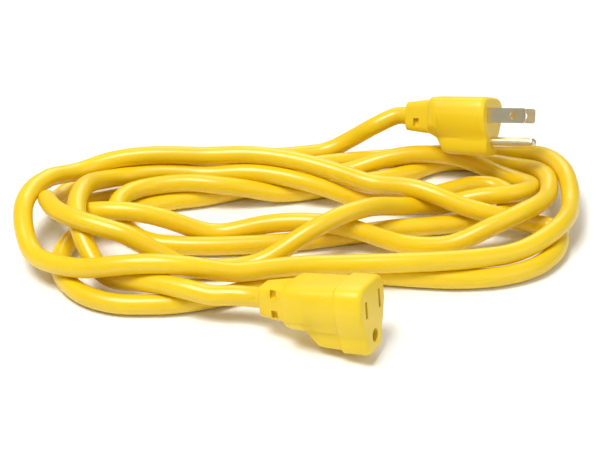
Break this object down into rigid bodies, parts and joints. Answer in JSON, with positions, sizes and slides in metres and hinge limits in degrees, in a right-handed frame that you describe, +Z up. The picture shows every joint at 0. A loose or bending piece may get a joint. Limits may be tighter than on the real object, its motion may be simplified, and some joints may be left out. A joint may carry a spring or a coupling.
{
  "type": "extension cord",
  "caption": "Loosely wound three-conductor extension cord with a moulded earthed plug and a moulded single-outlet connector.",
  "frame": {"origin": "on the floor under the middle of the whole wound cord and both its ends", "axes": "+X along the hank's long way, towards the plug's blades; +Y towards the far side, where the plug lies; +Z up"},
  "size_m": [0.2352, 0.1662, 0.0435],
  "materials": {
    "yellow_pvc": "moulded, semi-gloss",
    "yellow_jacket": "extruded jacket, semi-gloss",
    "inner_pvc": "moulded",
    "nickel": "plated, bright",
    "contact_brass": "stamped strip",
    "black_wire": "insulation",
    "white_wire": "insulation",
    "green_wire": "insulation",
    "copper": "bare copper"
  },
  "bodies": {
    "root": {"connector_body": "yellow_pvc", "connector_contact_ground": "contact_brass", "connector_contact_line": "contact_brass", "connector_contact_neutral": "contact_brass", "connector_copper_ground": "copper", "connector_copper_line": "copper", "connector_copper_neutral": "copper", "connector_inner_block": "inner_pvc", "connector_lead": "yellow_jacket", "connector_wire_ground": "green_wire", "connector_wire_line": "black_wire", "connector_wire_neutral": "white_wire", "cord_hank": "yellow_jacket", "plug_blade_line": "nickel", "plug_blade_neutral": "nickel", "plug_body": "yellow_pvc", "plug_copper_ground": "copper", "plug_copper_line": "copper", "plug_copper_neutral": "copper", "plug_ground_pin": "nickel", "plug_inner_block": "inner_pvc", "plug_lead": "yellow_jacket", "plug_wire_ground": "green_wire", "plug_wire_line": "black_wire", "plug_wire_neutral": "white_wire"}
  },
  "joints": []
}
